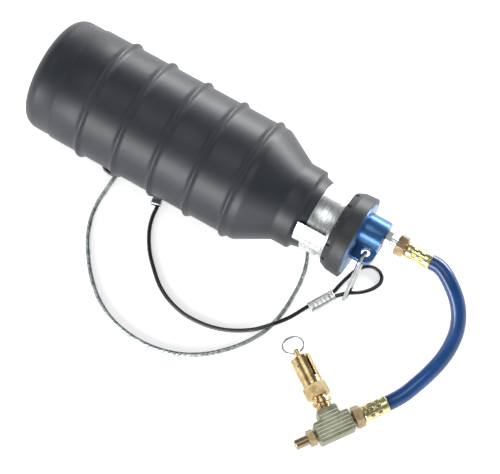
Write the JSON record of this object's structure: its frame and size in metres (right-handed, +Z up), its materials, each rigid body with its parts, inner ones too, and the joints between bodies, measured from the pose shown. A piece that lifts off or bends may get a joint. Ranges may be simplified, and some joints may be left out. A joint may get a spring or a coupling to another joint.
{
  "type": "inflatable pipe plug",
  "caption": "Ribbed rubber bladder that swells to seal a pipe, with a clamped neck, air hose, filling tee, relief valve, tow cable and wire rope ring.",
  "frame": {"origin": "middle of the bladder's flat closed end, on the bladder's axis", "axes": "+X along the bladder's axis towards the hose, +Z up; the ground that the plug lies on is at z = -0.0499"},
  "size_m": [0.3731, 0.1999, 0.0983],
  "materials": {
    "bladder_rubber": "matt, slightly grey",
    "black_rubber": "matt",
    "satin_steel": "satin, plated",
    "steel_wire": "bright drawn wire",
    "wire_rope": "stranded, under a clear coat",
    "blue_metal": "satin blue coating",
    "blue_hose": "smooth, semi-gloss",
    "nut_brass": "machined",
    "pale_brass": "bright, pale plating",
    "valve_brass": "machined, warm",
    "cast_tee": "rough cast, grey green",
    "cable_coat": "smooth black coating"
  },
  "bodies": {
    "plug": {"bladder": "bladder_rubber", "clamp_band": "satin_steel", "clamp_buckle": "satin_steel", "bumper_ring": "black_rubber", "end_fitting": "blue_metal", "inlet_nipple": "satin_steel", "upper_nut": "nut_brass", "upper_hose_tail": "nut_brass", "upper_ferrule": "pale_brass", "air_hose": "blue_hose", "lower_ferrule": "pale_brass", "lower_hose_tail": "nut_brass", "filling_tee": "cast_tee", "fill_valve_body": "nut_brass", "fill_valve_core": "nut_brass", "relief_base": "valve_brass", "relief_bonnet": "valve_brass", "relief_adjuster": "valve_brass", "relief_spring": "steel_wire", "tow_link": "steel_wire", "tow_cable": "cable_coat", "cable_sleeve_front": "satin_steel", "cable_sleeve_hidden": "satin_steel", "wire_rope_ring": "wire_rope", "wire_rope_ferrule": "satin_steel"},
    "stem": {"relief_stem": "valve_brass", "relief_knob": "valve_brass", "relief_seal": "black_rubber"},
    "ring": {"pull_ring": "steel_wire"}
  },
  "joints": [
    {"name": "relief_lift", "type": "slide", "parent": "plug", "child": "stem", "axis": [-0.8251, 0.565, 0], "range_m": [0, 0.0025], "stiffness_N_per_m": 2000, "springref_m": -0.003, "deforming": ["relief_spring"]},
    {"name": "ring_swing", "type": "hinge", "parent": "stem", "child": "ring", "pos_m": [0.27082, -0.08771, -0.0419], "axis": [0.565, 0.8251, 0], "range_deg": [-105, 155]}
  ]
}
